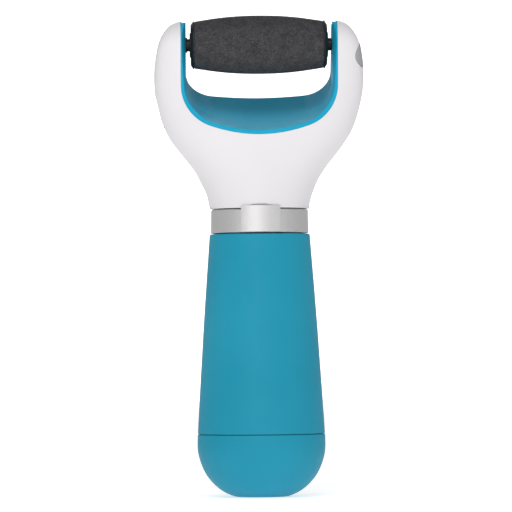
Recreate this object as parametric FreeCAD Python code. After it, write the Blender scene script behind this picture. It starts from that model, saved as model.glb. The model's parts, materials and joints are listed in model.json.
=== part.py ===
import FreeCAD, Part
import math
import os

V = FreeCAD.Vector

# Electric callus remover, standing on the flat under its battery cap.
# Millimetres.  +Z runs up the handle, the front faces -Y, and the roller lies along X.

# ---- roller and fork ----
AXIS_Y = -10.0            # roller axis, ahead of the handle's axis
AXIS_Z = 154.8
ROLLER_HALF = 22.2        # half length of the abrasive barrel
ROLLER_MID_R = 10.0
ROLLER_END_R = 8.0
ROLLER_CAP = 1.1          # thickness of each end cap
SPINDLE_R = 2.15
STUB_R = 1.5
CHEEK = 25.0              # half distance between the fork's inner faces
LINER_WALL = 1.8
LINER_LIP = 1.4
GROOVE_HALF = 3.2         # half width of the open groove in each cheek
GROOVE_DEPTH = 1.4
PAD_X = 27.2              # outer face of the thickened liner behind each groove

# ---- head shell: height, half width, front y, back y, squareness, wall ----
HEAD_ROWS = [
    (98.9, 17.15, -17.15, 17.15, 2.0, 1.5),
    (101.0, 17.35, -17.2, 17.3, 2.0, 1.5),
    (104.0, 18.25, -17.2, 17.6, 2.05, 1.6),
    (110.0, 21.0, -17.0, 18.2, 2.2, 1.8),
    (116.0, 25.4, -16.8, 18.4, 2.4, 1.8),
    (122.5, 30.3, -16.8, 17.9, 2.6, 1.5),
    (130.0, 33.7, -17.2, 16.2, 2.8, 1.4),
    (138.0, 35.6, -18.0, 12.6, 2.9, 1.4),
    (146.0, 35.85, -19.2, 7.0, 2.9, 1.4),
    (152.0, 35.1, -19.9, 2.0, 2.8, 1.4),
    (157.0, 33.7, -20.2, -1.0, 2.7, 1.5),
    (160.2, 31.7, -18.8, -2.4, 2.6, 1.6),
    (162.0, 29.6, -16.2, -5.0, 2.5, 1.7),
    (162.8, 27.6, -13.6, -7.6, 2.4, 1.8),
]
SECTION_POINTS = 32
CAVITY_TOP_DROP = 1.5     # the hollow ends this far under the arm tops
SPLIT_Y = 0.5             # front and rear shells meet in a plane that leans forward
SPLIT_LEAN = 0.16

# ---- saddle under the roller: heights along its centre line follow a shallow curve ----
SADDLE_FRONT_Y = -17.3
SADDLE_FRONT_Z = 125.2
SADDLE_SLOPE = 0.266
SADDLE_CURVE = 0.00499
SADDLE_STATIONS = [-26.0, -17.3, -3.0, 12.5, 24.0]
FLARE_Y = -13.6           # ahead of this the fork's inner faces splay outwards
FLARE_SLOPE = 0.31

# ---- gears: pressure angle, thinning for backlash, and the path down the left arm ----
PRESSURE = math.radians(25.0)
TOOTH_THINNING = 0.09
ARM_MODULE = 0.5
MOTOR_MODULE = 0.4
DRIVE_TEETH = 16
IDLER_TEETH = 24
STEP_TEETH = 12
WHEEL_TEETH = 26
PINION_TEETH = 10
GEAR_X0 = -27.5
GEAR_X1 = -29.1
WHEEL_X0 = -20.4
WHEEL_X1 = -22.4
PLATE_X0 = -29.5
PLATE_X1 = -30.3
PIN_R = 0.6
PATH_ANGLES = [18.0, 30.0, 38.0, -20.0]
RELIEF_X0 = -27.3      # relief in the shell round the drive gear
RELIEF_X1 = -29.5

# ---- motor ----
MOTOR_R = 10.0
MOTOR_FLAT = 7.5
MOTOR_TILT = 25.0
MOTOR_FRONT = -18.4
MOTOR_BACK = 3.6
BELL_BACK = 6.4
SHAFT_R = 1.0

# ---- release button and latch in the right arm ----
BUTTON_Y = -10.0
BUTTON_Z = 151.0
BUTTON_RY = 4.4
BUTTON_RZ = 4.1
BUTTON_PROUD = 0.15
BUTTON_GAP = 0.2
LATCH_X = 28.8
LATCH_T = 0.4

# ---- twist ring ----
RING_Z0 = 90.5
RING_Z1 = 98.6
RING_R0 = 16.85
RING_R1 = 16.65
RING_BORE = 14.75
TAB_HALF_ANGLE = 22.0
TAB_R0 = 17.5
TAB_R1 = 17.95
TAB_TOP = 99.7
NECK_R = 14.6
NECK_BORE = 12.6

# ---- handle and battery cap: height and radius down the outside ----
HANDLE_PROFILE = [(89.6, 17.25), (74.4, 18.4), (60.7, 19.4), (46.9, 20.3), (33.1, 21.2), (21.7, 21.87)]
CAP_PROFILE = [(20.9, 21.9), (18.0, 22.0), (15.2, 21.75), (12.5, 21.1), (9.7, 20.05),
               (7.0, 18.5), (4.2, 15.7), (2.0, 12.1), (0.0, 8.0)]
HANDLE_WALL = 1.4
CAP_WALL = 1.6

# ---- cells: four of AA size in a square ----
CELL_R = 7.1
CELL_PITCH = 14.7
CELL_BOTTOM = 10.8
CELL_TOP = 61.3
NUB = 1.2


def box(x0, x1, y0, y1, z0, z1):
    return Part.makeBox(x1 - x0, y1 - y0, z1 - z0, V(x0, y0, z0))


def rod_x(x0, x1, r, y=AXIS_Y, z=AXIS_Z):
    return Part.makeCylinder(r, abs(x1 - x0), V(min(x0, x1), y, z), V(1, 0, 0))


def rod_y(y0, y1, r, x, z):
    return Part.makeCylinder(r, y1 - y0, V(x, y0, z), V(0, 1, 0))


def rod_z(z0, z1, r, x=0.0, y=0.0):
    return Part.makeCylinder(r, z1 - z0, V(x, y, z0), V(0, 0, 1))


def tube_z(z0, z1, outer, inner):
    return rod_z(z0, z1, outer).cut(rod_z(z0 - 1, z1 + 1, inner))


def join(shapes):
    result = shapes[0]
    if len(shapes) > 1:
        result = result.fuse(shapes[1:])
    return result.removeSplitter()


def turn_x(shape, angle, y=AXIS_Y, z=AXIS_Z):
    shape.rotate(V(0, y, z), V(1, 0, 0), angle)
    return shape


def spline_edge(points):
    curve = Part.BSplineCurve()
    curve.interpolate(points)
    return curve.toShape()


def save(name, shape):
    solids = shape.Solids
    out = solids[0] if len(solids) == 1 else Part.makeCompound(solids)
    out.exportStep("parts/" + name + ".step")


# ---------------------------------------------------------------- head form

def head_section(row, inset):
    z, half, front, back, square, wall = row
    cut_back = wall if inset else 0.0
    a = half - cut_back
    b = (back - front) / 2 - cut_back
    mid = (front + back) / 2
    points = []
    for i in range(SECTION_POINTS):
        t = 2 * math.pi * i / SECTION_POINTS + math.pi / 2
        x = math.copysign(abs(math.cos(t)) ** (2 / square) * a, math.cos(t))
        y = math.copysign(abs(math.sin(t)) ** (2 / square) * b, math.sin(t))
        points.append(V(x, mid + y, z))
    curve = Part.BSplineCurve()
    curve.interpolate(points, PeriodicFlag=True)
    return Part.Wire([curve.toShape()])


def head_form():
    return Part.makeLoft([head_section(row, False) for row in HEAD_ROWS], True, False)


def head_cavity():
    top = HEAD_ROWS[-1][0]
    rows = []
    for row in HEAD_ROWS:
        reach = max(0.0, (row[0] - 140.0) / (top - 140.0))
        rows.append((row[0] - CAVITY_TOP_DROP * reach * reach,) + row[1:])
    return Part.makeLoft([head_section(row, True) for row in rows], True, False)


def saddle_height(y):
    d = y - SADDLE_FRONT_Y
    return SADDLE_FRONT_Z + SADDLE_SLOPE * d + SADDLE_CURVE * d * d


def trough_section(y, half, drop):
    """U-shaped outline in an XZ plane: a wide arc with a tight arc up into each cheek."""
    share = (y - SADDLE_FRONT_Y) / (12.5 - SADDLE_FRONT_Y)
    wide = 48.0 + 55.0 * share + drop
    tight = 12.7 - 1.6 * min(share, 1.2) + drop
    z0 = saddle_height(y) - drop * (LINER_LIP / LINER_WALL if drop else 1.0)
    centre = V(0, y, z0 + wide)
    inner = wide - tight
    cx = half - tight
    cz = centre.z - math.sqrt(inner * inner - cx * cx)
    ux = cx / inner
    uz = (cz - centre.z) / inner
    join_point = V(cx + ux * tight, y, cz + uz * tight)
    mid_angle = (math.atan2(uz, ux) + 0.0) / 2
    mid_point = V(cx + math.cos(mid_angle) * tight, y, cz + math.sin(mid_angle) * tight)
    side = V(half, y, cz)
    top = V(half, y, 176.0)
    mirror = [V(-p.x, p.y, p.z) for p in (join_point, mid_point, side, top)]
    edges = [
        Part.makeLine(top, side),
        Part.Arc(side, mid_point, join_point).toShape(),
        Part.Arc(join_point, V(0, y, z0), mirror[0]).toShape(),
        Part.Arc(mirror[0], mirror[1], mirror[2]).toShape(),
        Part.makeLine(mirror[2], mirror[3]),
        Part.makeLine(mirror[3], top),
    ]
    return Part.Wire(edges)


def trough(half, drop):
    return Part.makeLoft([trough_section(y, half, drop) for y in SADDLE_STATIONS], True, False)


def front_flare():
    """Space that splays the fork's inner faces outwards towards the front."""
    stations = [FLARE_Y - 8.0, FLARE_Y - 3.5, FLARE_Y + 1.0]
    space = Part.makeLoft([trough_section(y, CHEEK + FLARE_SLOPE * (FLARE_Y - y), 0.0) for y in stations], True, True)
    space.translate(V(0, 0, 0.3))
    return space


# ---------------------------------------------------------------- gears

def step(centre, length, angle):
    a = math.radians(angle)
    return (centre[0] + length * math.sin(a), centre[1] - length * math.cos(a))


def gear_centres():
    drive = (AXIS_Y, AXIS_Z)
    upper = step(drive, ARM_MODULE * (DRIVE_TEETH + IDLER_TEETH) / 2, PATH_ANGLES[0])
    lower = step(upper, ARM_MODULE * IDLER_TEETH, PATH_ANGLES[1])
    compound = step(lower, ARM_MODULE * (IDLER_TEETH + STEP_TEETH) / 2, PATH_ANGLES[2])
    motor = step(compound, MOTOR_MODULE * (WHEEL_TEETH + PINION_TEETH) / 2, PATH_ANGLES[3])
    return drive, upper, lower, compound, motor


def mesh_phase(a, teeth_a, phase_a, b, teeth_b):
    """Angle of gear b that puts one of its gaps on a tooth of gear a."""
    line = math.degrees(math.atan2(b[1] - a[1], b[0] - a[0]))
    return line + 180.0 + 180.0 / teeth_b - (phase_a - line) * teeth_a / teeth_b


def involute_angle(base, radius):
    a = math.acos(min(1.0, base / radius))
    return math.tan(a) - a


def gear(teeth, module, x0, x1, centre, phase):
    pitch = module * teeth / 2
    base = pitch * math.cos(PRESSURE)
    tip = pitch + 0.9 * module
    root = pitch - 1.15 * module
    half = math.pi / (2 * teeth) - TOOTH_THINNING / (2 * pitch) + math.tan(PRESSURE) - PRESSURE
    low = max(base, root + 0.02)
    radii = [low, low + (tip - low) * 0.45, tip]

    def at(radius, angle):
        return V(x0, centre[0] + radius * math.cos(angle), centre[1] + radius * math.sin(angle))

    edges = []
    for i in range(teeth):
        mid = math.radians(phase) + 2 * math.pi * i / teeth
        rise = [at(r, mid - half + involute_angle(base, r)) for r in radii]
        fall = [at(r, mid + half - involute_angle(base, r)) for r in radii]
        foot0 = at(root, mid - half)
        foot1 = at(root, mid + half)
        next_foot = at(root, mid + 2 * math.pi / teeth - half)
        gap_mid = at(root, mid + math.pi / teeth)
        edges.append(Part.makeLine(foot0, rise[0]))
        edges.extend(Part.makePolygon(rise).Edges)
        edges.append(Part.makeLine(rise[-1], fall[-1]))
        edges.extend(Part.makePolygon(fall[::-1]).Edges)
        edges.append(Part.makeLine(fall[0], foot1))
        edges.append(Part.Arc(foot1, gap_mid, next_foot).toShape())
    face = Part.Face(Part.Wire(edges))
    return face.extrude(V(x1 - x0, 0, 0))


# ---------------------------------------------------------------- head pieces

def liner_groove(side):
    """Space for a spindle end: a slot open at the top with a round bottom."""
    x0, x1 = sorted((side * (CHEEK - 1.0), side * (CHEEK + GROOVE_DEPTH)))
    slot = box(x0, x1, AXIS_Y - GROOVE_HALF, AXIS_Y + GROOVE_HALF, AXIS_Z, 176.0)
    return slot.fuse(rod_x(x0, x1, GROOVE_HALF))


def make_liner(form, cavity):
    band = trough(CHEEK + LINER_WALL, LINER_WALL).common(form)
    pads = []
    for side in (-1, 1):
        x0, x1 = sorted((side * (CHEEK + 0.5), side * PAD_X))
        low = 149.5 if side < 0 else 153.0
        pads.append(box(x0, x1, AXIS_Y - 4.6, AXIS_Y + 4.6, low, 170.0).common(cavity))
    body = band.fuse(pads)
    body = body.cut(trough(CHEEK, 0.0)).cut(front_flare())
    body = body.cut(liner_groove(-1)).cut(liner_groove(1))
    body = body.cut(rod_x(-CHEEK - 1.0, -PAD_X - 1.0, 3.05))
    window = box(CHEEK + 1.0, PAD_X + 1.0, AXIS_Y - 1.7, AXIS_Y + 1.7, AXIS_Z + 3.1, AXIS_Z + 4.6)
    return body.cut(window).removeSplitter()


def split_block(rear):
    """Everything behind (or ahead of) the leaning plane where the two shells meet."""
    low = 90.0
    high = 170.0
    y_low = SPLIT_Y - SPLIT_LEAN * (low - 98.0)
    y_high = SPLIT_Y - SPLIT_LEAN * (high - 98.0)
    far = 60.0 if rear else -60.0
    corners = [V(-60, y_low, low), V(-60, y_high, high), V(-60, far, high), V(-60, far, low)]
    return Part.Face(Part.makePolygon(corners + corners[:1])).extrude(V(120, 0, 0))


def head_screw_sites():
    return [(-12.6, 106.6), (12.6, 106.6), (-32.4, 135.0), (32.4, 135.0)]


def split_at(z):
    return SPLIT_Y - SPLIT_LEAN * (z - 98.0)


def neck_details(form):
    """Bottom lip that turns on the neck, and a rib that holds the neck's flange."""
    lip = tube_z(98.9, 100.2, 17.0, NECK_R + 0.12)
    rib = tube_z(101.95, 103.1, 17.1, NECK_R + 0.12)
    return lip.fuse(rib).common(form)


def index_notch():
    """Sloping notch in the shell's lower edge, above the ring's tab."""
    half = math.radians(TAB_HALF_ANGLE)
    w = 17.2 * math.sin(half)
    corners = [V(-w, -18.4, 98.0), V(-w, -18.4, 101.6), V(-w, -17.6, 100.9), V(-w, -16.55, 99.6), V(-w, -16.55, 98.0)]
    return Part.Face(Part.makePolygon(corners + corners[:1])).extrude(V(2 * w, 0, 0))


def button_outline(grow, y=BUTTON_Y):
    """Upright oval plug along X, used for the button and for its hole."""
    curve = Part.Ellipse(V(30.0, y, BUTTON_Z), BUTTON_RY + grow, BUTTON_RZ + grow)
    edge = curve.toShape()
    edge.rotate(V(30.0, y, BUTTON_Z), V(0, 1, 0), 90.0)
    edge.rotate(V(30.0, y, BUTTON_Z), V(1, 0, 0), 90.0)
    return Part.Face(Part.Wire([edge]))


def shell_half(rear, form, cavity, liner_space):
    body = form.cut(cavity).cut(liner_space)
    body = body.fuse(neck_details(form))
    for x, z in head_screw_sites():
        y0 = split_at(z)
        boss = rod_y(y0, y0 + 30.0, 2.0, x, z) if rear else rod_y(y0 - 30.0, y0, 2.0, x, z)
        body = body.fuse(boss.common(form))
    if rear:
        body = body.fuse(plate_bosses(form)).fuse(cradle_bosses(form))
    body = body.common(split_block(rear))
    for x, z in head_screw_sites():
        y0 = split_at(z)
        body = body.cut(rod_y(y0 - 4.0, y0 + 0.01, 0.75, x, z))
        if rear:
            body = body.cut(rod_y(y0 - 0.1, y0 + 30.0, 0.95, x, z))
            body = body.cut(rod_y(y0 + 2.0, y0 + 30.0, 1.65, x, z))
    if rear:
        for x, z in cradle_boss_sites():
            body = body.cut(rod_y(10.0, 14.8, 0.75, x, z))
        for y, z in plate_boss_sites():
            body = body.cut(rod_x(PLATE_X1 + 0.5, PLATE_X1 - 2.6, 0.6, y, z))
        y, z = gear_centres()[3]
        body = body.cut(rod_x(PLATE_X0, PLATE_X1 - 0.15, 2.3, y, z))
    hole = button_outline(BUTTON_GAP).extrude(V(12.0, 0, 0))
    hole.translate(V(-1.1, 0, 0))
    body = body.cut([hole, index_notch(), rod_x(RELIEF_X0, RELIEF_X1, 4.8)])
    return body.removeSplitter()


def make_head_screws():
    screws = []
    for x, z in head_screw_sites():
        y0 = split_at(z)
        shank = rod_y(y0 - 3.8, y0 + 2.1, 0.75, x, z)
        head = rod_y(y0 + 2.0, y0 + 3.2, 1.5, x, z)
        cross = box(x - 0.9, x + 0.9, y0 + 2.7, y0 + 3.3, z - 0.2, z + 0.2)
        cross = cross.fuse(box(x - 0.2, x + 0.2, y0 + 2.7, y0 + 3.3, z - 0.9, z + 0.9))
        screws.append(shank.fuse(head).cut(cross).removeSplitter())
    return Part.makeCompound(screws)


# ---------------------------------------------------------------- gear train pieces

def plate_boss_sites():
    return [(2.8, 141.6), (-3.4, 127.4)]


def plate_bosses(form):
    bosses = [rod_x(PLATE_X1, -40.0, 1.6, y, z) for y, z in plate_boss_sites()]
    return join(bosses).common(form)


def cradle_boss_sites():
    return [(-12.0, 111.4), (2.0, 111.4)]


def cradle_bosses(form):
    bosses = [rod_y(11.0, 30.0, 1.9, x, z) for x, z in cradle_boss_sites()]
    return join(bosses).common(form)


def bar_between(a, b, half, x0, x1):
    """Flat link between two points of the arm's YZ plane."""
    length = math.hypot(b[0] - a[0], b[1] - a[1])
    bar = box(min(x0, x1), max(x0, x1), 0, length, -half, half)
    bar.rotate(V(0, 0, 0), V(1, 0, 0), math.degrees(math.atan2(b[1] - a[1], b[0] - a[0])))
    bar.translate(V(0, a[0], a[1]))
    return bar


def make_gear_plate(centres):
    drive, upper, lower, compound, motor = centres
    stops = [drive, upper, lower, compound]
    pieces = [rod_x(PLATE_X0, PLATE_X1, 2.0, y, z) for y, z in stops]
    for a, b in zip(stops[:-1], stops[1:]):
        pieces.append(bar_between(a, b, 2.0, PLATE_X0, PLATE_X1))
    for site, anchor in zip(plate_boss_sites(), (upper, lower)):
        pieces.append(rod_x(PLATE_X0, PLATE_X1, 1.8, site[0], site[1]))
        pieces.append(bar_between(site, anchor, 1.4, PLATE_X0, PLATE_X1))
    plate = join(pieces)
    for y, z in stops:
        plate = plate.cut(rod_x(PLATE_X0 + 1, PLATE_X1 - 1, PIN_R, y, z))
    for y, z in plate_boss_sites():
        plate = plate.cut(rod_x(PLATE_X0 + 1, PLATE_X1 - 1, 0.6, y, z))
    return plate


def make_gear_pins(centres):
    drive, upper, lower, compound, motor = centres
    pins = [rod_x(-27.3, PLATE_X1, PIN_R, y, z) for y, z in (drive, upper, lower)]
    pins.append(rod_x(-18.7, PLATE_X1, PIN_R, compound[0], compound[1]))
    return Part.makeCompound(pins)


def make_plate_screws():
    screws = []
    for y, z in plate_boss_sites():
        screws.append(rod_x(PLATE_X0, PLATE_X1 - 2.4, 0.58, y, z).fuse(rod_x(PLATE_X0, PLATE_X0 + 0.55, 1.1, y, z)))
    return Part.makeCompound(screws)


def make_drive_gear(centres, phase):
    body = gear(DRIVE_TEETH, ARM_MODULE, GEAR_X0, GEAR_X1, centres[0], phase)
    body = body.fuse(rod_x(-25.15, GEAR_X0, 2.9))
    body = body.cut(box(-26.75, -25.0, AXIS_Y - 0.75, AXIS_Y + 0.75, AXIS_Z - 3.5, AXIS_Z + 3.5))
    return body.cut(rod_x(-27.2, GEAR_X1 - 1, PIN_R + 0.08)).removeSplitter()


def make_idler(centre, phase):
    body = gear(IDLER_TEETH, ARM_MODULE, GEAR_X0, GEAR_X1, centre, phase)
    body = body.cut(rod_x(GEAR_X0 - 1.2, GEAR_X1 - 1, 4.6, centre[0], centre[1]))
    body = body.fuse(rod_x(GEAR_X0 - 0.1, GEAR_X1, 1.5, centre[0], centre[1]))
    return body.cut(rod_x(GEAR_X0 + 1, GEAR_X1 - 1, PIN_R + 0.08, centre[0], centre[1])).removeSplitter()


def make_compound_gear(centre, step_phase, wheel_phase):
    small = gear(STEP_TEETH, ARM_MODULE, GEAR_X0, GEAR_X1, centre, step_phase)
    wheel = gear(WHEEL_TEETH, MOTOR_MODULE, WHEEL_X0, WHEEL_X1, centre, wheel_phase)
    hub = rod_x(WHEEL_X0, GEAR_X0, 1.9, centre[0], centre[1])
    body = small.fuse([wheel, hub])
    return body.cut(rod_x(-15.0, -35.0, PIN_R + 0.08, centre[0], centre[1])).removeSplitter()


# ---------------------------------------------------------------- motor pieces

def motor_profile(r, flat, x0, x1, centre):
    body = rod_x(x0, x1, r, centre[0], centre[1])
    keep = box(min(x0, x1) - 1, max(x0, x1) + 1, centre[0] - 20, centre[0] + 20, centre[1] - flat, centre[1] + flat)
    return body.common(turn_x(keep, MOTOR_TILT, centre[0], centre[1]))


def make_motor_can(m):
    can = motor_profile(MOTOR_R, MOTOR_FLAT, MOTOR_FRONT, MOTOR_BACK, m)
    can = can.cut(motor_profile(MOTOR_R - 0.8, MOTOR_FLAT - 0.8, MOTOR_FRONT + 0.8, MOTOR_BACK + 1, m))
    can = can.fuse(rod_x(MOTOR_FRONT - 1.2, MOTOR_FRONT + 1.2, 2.9, m[0], m[1]))
    return can.cut(rod_x(MOTOR_FRONT - 3, MOTOR_FRONT + 3, SHAFT_R + 0.08, m[0], m[1])).removeSplitter()


def make_motor_bell(m):
    bell = motor_profile(MOTOR_R - 0.85, MOTOR_FLAT - 0.85, MOTOR_BACK - 2.0, MOTOR_BACK, m)
    bell = bell.fuse(motor_profile(MOTOR_R, MOTOR_FLAT, MOTOR_BACK, MOTOR_BACK + 1.2, m))
    bell = bell.fuse(rod_x(MOTOR_BACK, BELL_BACK, 3.0, m[0], m[1]))
    bell = bell.cut(rod_x(MOTOR_BACK - 3, BELL_BACK - 0.8, SHAFT_R + 0.08, m[0], m[1]))
    for tab in terminal_sites(m):
        bell = bell.cut(terminal_blade(tab, 0.02))
    return bell.removeSplitter()


def terminal_sites(m):
    a = math.radians(MOTOR_TILT)
    return [(m[0] + s * 6.2 * math.cos(a), m[1] + s * 6.2 * math.sin(a)) for s in (-1, 1)]


def terminal_blade(site, grow):
    y, z = site
    return box(MOTOR_BACK - 1.5, BELL_BACK + 1.0, y - 0.2 - grow, y + 0.2 + grow, z - 1.0 - grow, z + 1.0 + grow)


def make_motor_terminals(m):
    return Part.makeCompound([terminal_blade(site, 0.0) for site in terminal_sites(m)])


def make_motor_magnets(m):
    ring = rod_x(MOTOR_FRONT + 3.5, MOTOR_BACK - 4.5, MOTOR_R - 0.85, m[0], m[1])
    ring = ring.cut(rod_x(MOTOR_FRONT, MOTOR_BACK, MOTOR_R - 2.6, m[0], m[1]))
    gap = box(-30, 30, m[0] - 6.3, m[0] + 6.3, m[1] - 12, m[1] + 12)
    return ring.cut(turn_x(gap, MOTOR_TILT, m[0], m[1]))


def make_motor_shaft(m):
    return rod_x(-23.0, BELL_BACK - 0.9, SHAFT_R, m[0], m[1])


def make_motor_pinion(m, phase):
    body = gear(PINION_TEETH, MOTOR_MODULE, WHEEL_X0, WHEEL_X1 - 0.2, m, phase)
    return body.cut(rod_x(-15, -30, SHAFT_R, m[0], m[1]))


def armature_arm(m, index, r0, r1, half, x0, x1):
    arm = box(x0, x1, m[0] - half, m[0] + half, m[1] + r0, m[1] + r1)
    return turn_x(arm, 120.0 * index, m[0], m[1])


def make_motor_armature(m):
    x0, x1 = MOTOR_FRONT + 4.5, MOTOR_BACK - 5.5
    pieces = [rod_x(x0, x1, 2.4, m[0], m[1])]
    shoe = rod_x(x0, x1, 6.2, m[0], m[1]).cut(rod_x(x0 - 1, x1 + 1, 5.2, m[0], m[1]))
    for i in range(3):
        pieces.append(armature_arm(m, i, 1.5, 5.6, 1.0, x0, x1))
        pieces.append(shoe.common(armature_arm(m, i, 2.0, 7.0, 3.6, x0, x1)))
    return join(pieces).cut(rod_x(x0 - 1, x1 + 1, SHAFT_R, m[0], m[1]))


def make_motor_windings(m):
    x0, x1 = MOTOR_FRONT + 4.5, MOTOR_BACK - 5.5
    coils = []
    for i in range(3):
        outer = armature_arm(m, i, 3.0, 4.55, 2.2, x0 - 1.2, x1 + 1.2)
        inner = armature_arm(m, i, 2.9, 4.65, 1.03, x0 - 0.03, x1 + 0.03)
        coils.append(outer.cut(inner))
    return Part.makeCompound(coils)


def make_commutator(m):
    x1 = MOTOR_BACK - 2.2
    drum = rod_x(x1 - 1.9, x1, 2.2, m[0], m[1]).cut(rod_x(x1 - 4, x1 + 1, SHAFT_R, m[0], m[1]))
    for i in range(3):
        drum = drum.cut(armature_arm(m, i, 1.7, 3.0, 0.15, x1 - 3, x1 + 1))
    return drum


def make_motor_cradle(m, cavity, centres):
    compound = centres[3]
    plate = rod_x(-19.6, -18.5, 11.0, m[0], m[1]).fuse(bar_between(m, compound, 2.4, -19.6, -18.5))
    plate = plate.fuse(rod_x(-19.6, -18.5, 2.4, compound[0], compound[1]))
    strap = rod_x(-18.6, 3.4, 11.3, m[0], m[1]).cut(rod_x(-20.0, 5.0, 10.06, m[0], m[1]))
    lower = box(-19.6, 3.4, m[0] - 20, m[0] + 20, m[1] - 20, m[1] - 4.0)
    strap = strap.common(lower)
    body = plate.fuse(strap)
    for x, z in cradle_boss_sites():
        body = body.fuse(box(x - 2.6, x + 2.6, 9.4, 10.95, z - 2.2, z + 4.2))
    body = body.cut(motor_profile(10.05, 7.55, -18.45, 6.0, m))
    body = body.cut(rod_x(-21.0, -18.0, 2.95, m[0], m[1]))
    body = body.cut(rod_x(-21.0, -18.0, PIN_R, compound[0], compound[1]))
    for x, z in cradle_boss_sites():
        body = body.cut(rod_y(5.0, 12.0, 0.75, x, z)).cut(rod_y(5.0, 9.4, 1.6, x, z))
    return body.common(cavity).removeSplitter()


def make_cradle_screws():
    screws = []
    for x, z in cradle_boss_sites():
        screws.append(rod_y(9.4, 14.6, 0.72, x, z).fuse(rod_y(8.6, 9.4, 1.4, x, z)))
    return Part.makeCompound(screws)


# ---------------------------------------------------------------- roller pieces

def make_roller_sleeve():
    ends = [V(-ROLLER_HALF, ROLLER_END_R, 0), V(-ROLLER_HALF * 0.55, ROLLER_MID_R - 0.58, 0), V(0, ROLLER_MID_R, 0),
            V(ROLLER_HALF * 0.55, ROLLER_MID_R - 0.58, 0), V(ROLLER_HALF, ROLLER_END_R, 0)]
    low = [V(ROLLER_HALF, 6.1, 0), V(-ROLLER_HALF, 6.1, 0)]
    edges = [spline_edge(ends), Part.makeLine(ends[-1], low[0]), Part.makeLine(low[0], low[1]),
             Part.makeLine(low[1], ends[0])]
    body = Part.Face(Part.Wire(edges)).revolve(V(0, 0, 0), V(1, 0, 0), 360.0)
    body.translate(V(0, AXIS_Y, AXIS_Z))
    return body


def make_roller_core():
    tube = rod_x(-ROLLER_HALF, ROLLER_HALF, 6.1).cut(rod_x(-ROLLER_HALF - 1, ROLLER_HALF + 1, 4.9))
    for i in range(3):
        web = box(-ROLLER_HALF, ROLLER_HALF, AXIS_Y - 0.5, AXIS_Y + 0.5, AXIS_Z + 1.6, AXIS_Z + 5.2)
        tube = tube.fuse(turn_x(web, 120.0 * i))
    hub = rod_x(-ROLLER_HALF, ROLLER_HALF, 2.4).cut(rod_x(-ROLLER_HALF - 1, ROLLER_HALF + 1, 1.2))
    return tube.fuse(hub).removeSplitter()


def roller_cap(side):
    face = side * ROLLER_HALF
    rim = rod_x(face, face + side * ROLLER_CAP, ROLLER_END_R + 0.25)
    edge = rod_x(face + side * 0.35, face + side * (ROLLER_CAP + 1), 20.0).cut(
        Part.makeCone(ROLLER_END_R + 0.45, ROLLER_END_R - 1.2, 1.2, V(face, AXIS_Y, AXIS_Z), V(side, 0, 0)))
    rim = rim.cut(edge)
    step_down = rod_x(face + side * ROLLER_CAP, face + side * (ROLLER_CAP + 0.35), 4.2)
    spindle = rod_x(face + side * ROLLER_CAP, side * (CHEEK - 0.06), SPINDLE_R)
    peg = rod_x(face - side * 3.0, face, 1.15)
    return rim.fuse([step_down, spindle, peg])


def make_drive_cap():
    tongue = box(-26.3, -24.5, AXIS_Y - 0.65, AXIS_Y + 0.65, AXIS_Z - 2.6, AXIS_Z + 2.6)
    tongue = tongue.common(rod_x(-27.0, -24.0, 2.6))
    return roller_cap(-1).fuse(tongue).removeSplitter()


def make_idle_cap():
    return roller_cap(1).fuse(rod_x(24.5, 26.2, STUB_R)).removeSplitter()


def make_idle_bush():
    block = rod_x(25.08, 26.3, 3.12)
    block = block.fuse(box(25.08, 26.3, AXIS_Y - 3.12, AXIS_Y + 3.12, AXIS_Z, AXIS_Z + 3.0))
    return block.cut(rod_x(24.0, 27.0, STUB_R + 0.09)).removeSplitter()


# ---------------------------------------------------------------- release button and latch

def make_release_button(form):
    raised = form.copy()
    raised.translate(V(BUTTON_PROUD, 0, 0))
    cap = button_outline(0.0).extrude(V(10.0, 0, 0))
    cap.translate(V(0.9, 0, 0))
    cap = cap.common(raised)
    flange = box(29.9, 31.0, -13.0, -5.0, BUTTON_Z - 5.2, BUTTON_Z + 2.6)
    hollow = button_outline(-1.1).extrude(V(2.2, 0, 0))
    stem = rod_x(29.35, 33.2, 1.5, AXIS_Y, BUTTON_Z)
    return cap.fuse(flange).cut(hollow).fuse(stem).removeSplitter()


def make_latch_spring():
    """Spring-steel leaf: clamped at its foot, bearing on the pivot, hooked over the bush."""
    y0, y1 = AXIS_Y - 1.5, AXIS_Y + 1.5
    hook_z = AXIS_Z + 3.35
    leaf = box(LATCH_X, LATCH_X + LATCH_T, y0, y1, 142.0, hook_z + LATCH_T)
    hook = box(25.75, LATCH_X + LATCH_T, y0, y1, hook_z, hook_z + LATCH_T)
    return leaf.fuse(hook).removeSplitter()


def make_latch_pivot():
    return rod_y(AXIS_Y - 4.0, AXIS_Y + 4.0, 0.55, LATCH_X - 0.6, 155.4)


def make_latch_block():
    """Block on the liner that clamps the leaf's foot, with two ears for the pivot."""
    foot = box(CHEEK + LINER_WALL, 30.0, AXIS_Y - 2.4, AXIS_Y + 2.4, 140.8, 145.2)
    foot = foot.cut(box(LATCH_X, LATCH_X + LATCH_T, AXIS_Y - 1.5, AXIS_Y + 1.5, 142.0, 150.0))
    ears = []
    for side in (-1, 1):
        y = AXIS_Y + side * 3.2
        ears.append(box(PAD_X, LATCH_X + 0.4, y - 0.6, y + 0.6, 153.9, 156.6))
    pivot = make_latch_pivot()
    return foot, Part.makeCompound([ear.cut(pivot) for ear in ears])


# ---------------------------------------------------------------- neck and twist ring

def arc_block(r0, r1, a0, a1, z0, z1):
    """Part of a ring between two angles in degrees, counted from +X towards +Y."""
    wedge = Part.makeCylinder(r1, z1 - z0, V(0, 0, z0), V(0, 0, 1), a1 - a0)
    wedge.rotate(V(0, 0, 0), V(0, 0, 1), a0)
    return wedge.cut(rod_z(z0 - 1, z1 + 1, r0))


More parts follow.
